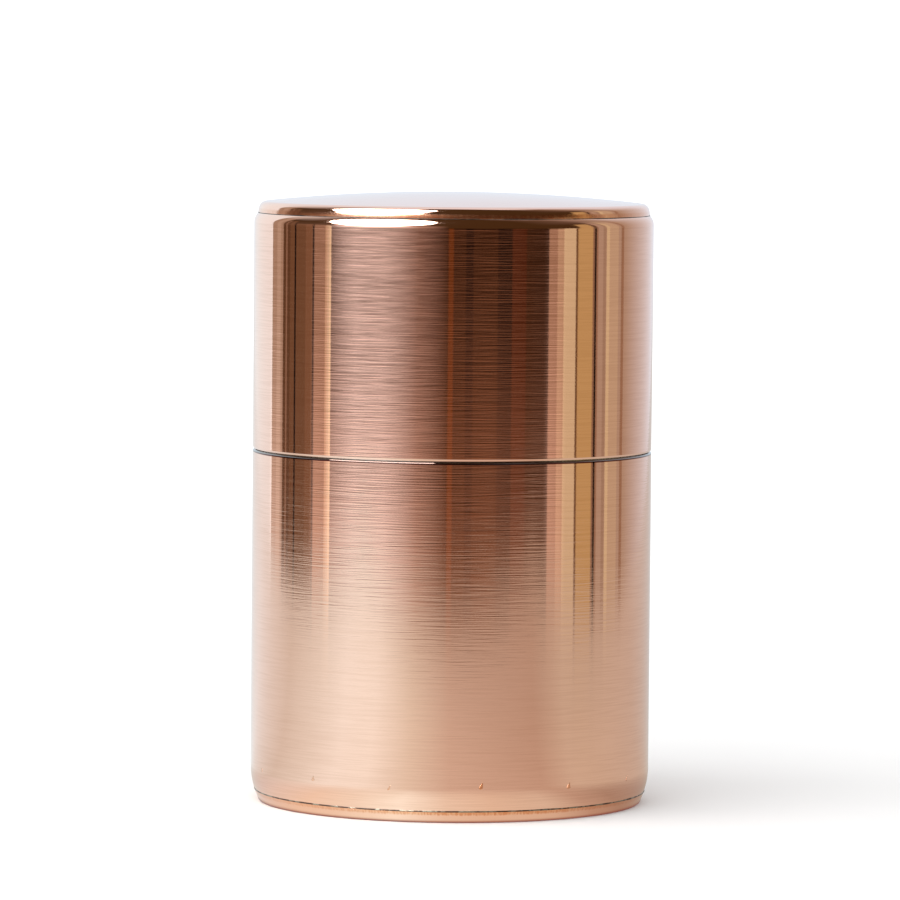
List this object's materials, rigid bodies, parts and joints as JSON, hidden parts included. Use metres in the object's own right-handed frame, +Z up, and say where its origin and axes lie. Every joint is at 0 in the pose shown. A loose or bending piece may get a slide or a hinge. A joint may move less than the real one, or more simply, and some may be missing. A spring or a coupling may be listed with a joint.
{
  "type": "tea caddy",
  "caption": "Round copper tea caddy: double-walled body, plug-in inner lid with a knob, and a deep outer lid that slides over the canister's neck.",
  "frame": {"origin": "centre of the circle that the caddy stands on, at the underside of the base plate", "axes": "+Z up along the caddy's axis; +X and +Y are radial, and the rolled sheets' seams lie at +Y"},
  "size_m": [0.075, 0.075, 0.1146],
  "materials": {
    "brushed_copper": "copper, brushed round the walls and polished at the edges",
    "polished_copper": "copper, polished",
    "tinplate": "bright tinned steel sheet",
    "solder": "dull soft solder",
    "knob_brass": "turned and polished brass"
  },
  "bodies": {
    "body": {"body_outer_wall": "brushed_copper", "base_plate": "polished_copper", "base_solder_ring": "solder", "canister_wall": "tinplate", "canister_floor": "tinplate", "canister_floor_solder": "solder", "shoulder_solder_ring": "solder"},
    "inner_lid": {"inner_lid_disc": "tinplate", "inner_lid_skirt": "tinplate", "inner_lid_skirt_solder": "solder", "inner_lid_knob": "knob_brass", "knob_washer": "knob_brass", "knob_rivet": "knob_brass"},
    "outer_lid": {"lid_outer_wall": "brushed_copper", "lid_top_plate": "polished_copper", "lid_top_solder_ring": "solder", "lid_lining_sleeve": "tinplate", "lid_lining_disc": "tinplate", "lid_lining_solder": "solder"}
  },
  "joints": [
    {"name": "inner_lid_lift", "type": "slide", "parent": "body", "child": "inner_lid", "axis": [0, 0, 1], "range_m": [0, 0.03]},
    {"name": "outer_lid_lift", "type": "slide", "parent": "inner_lid", "child": "outer_lid", "axis": [0, 0, 1], "range_m": [0, 0.06]}
  ]
}
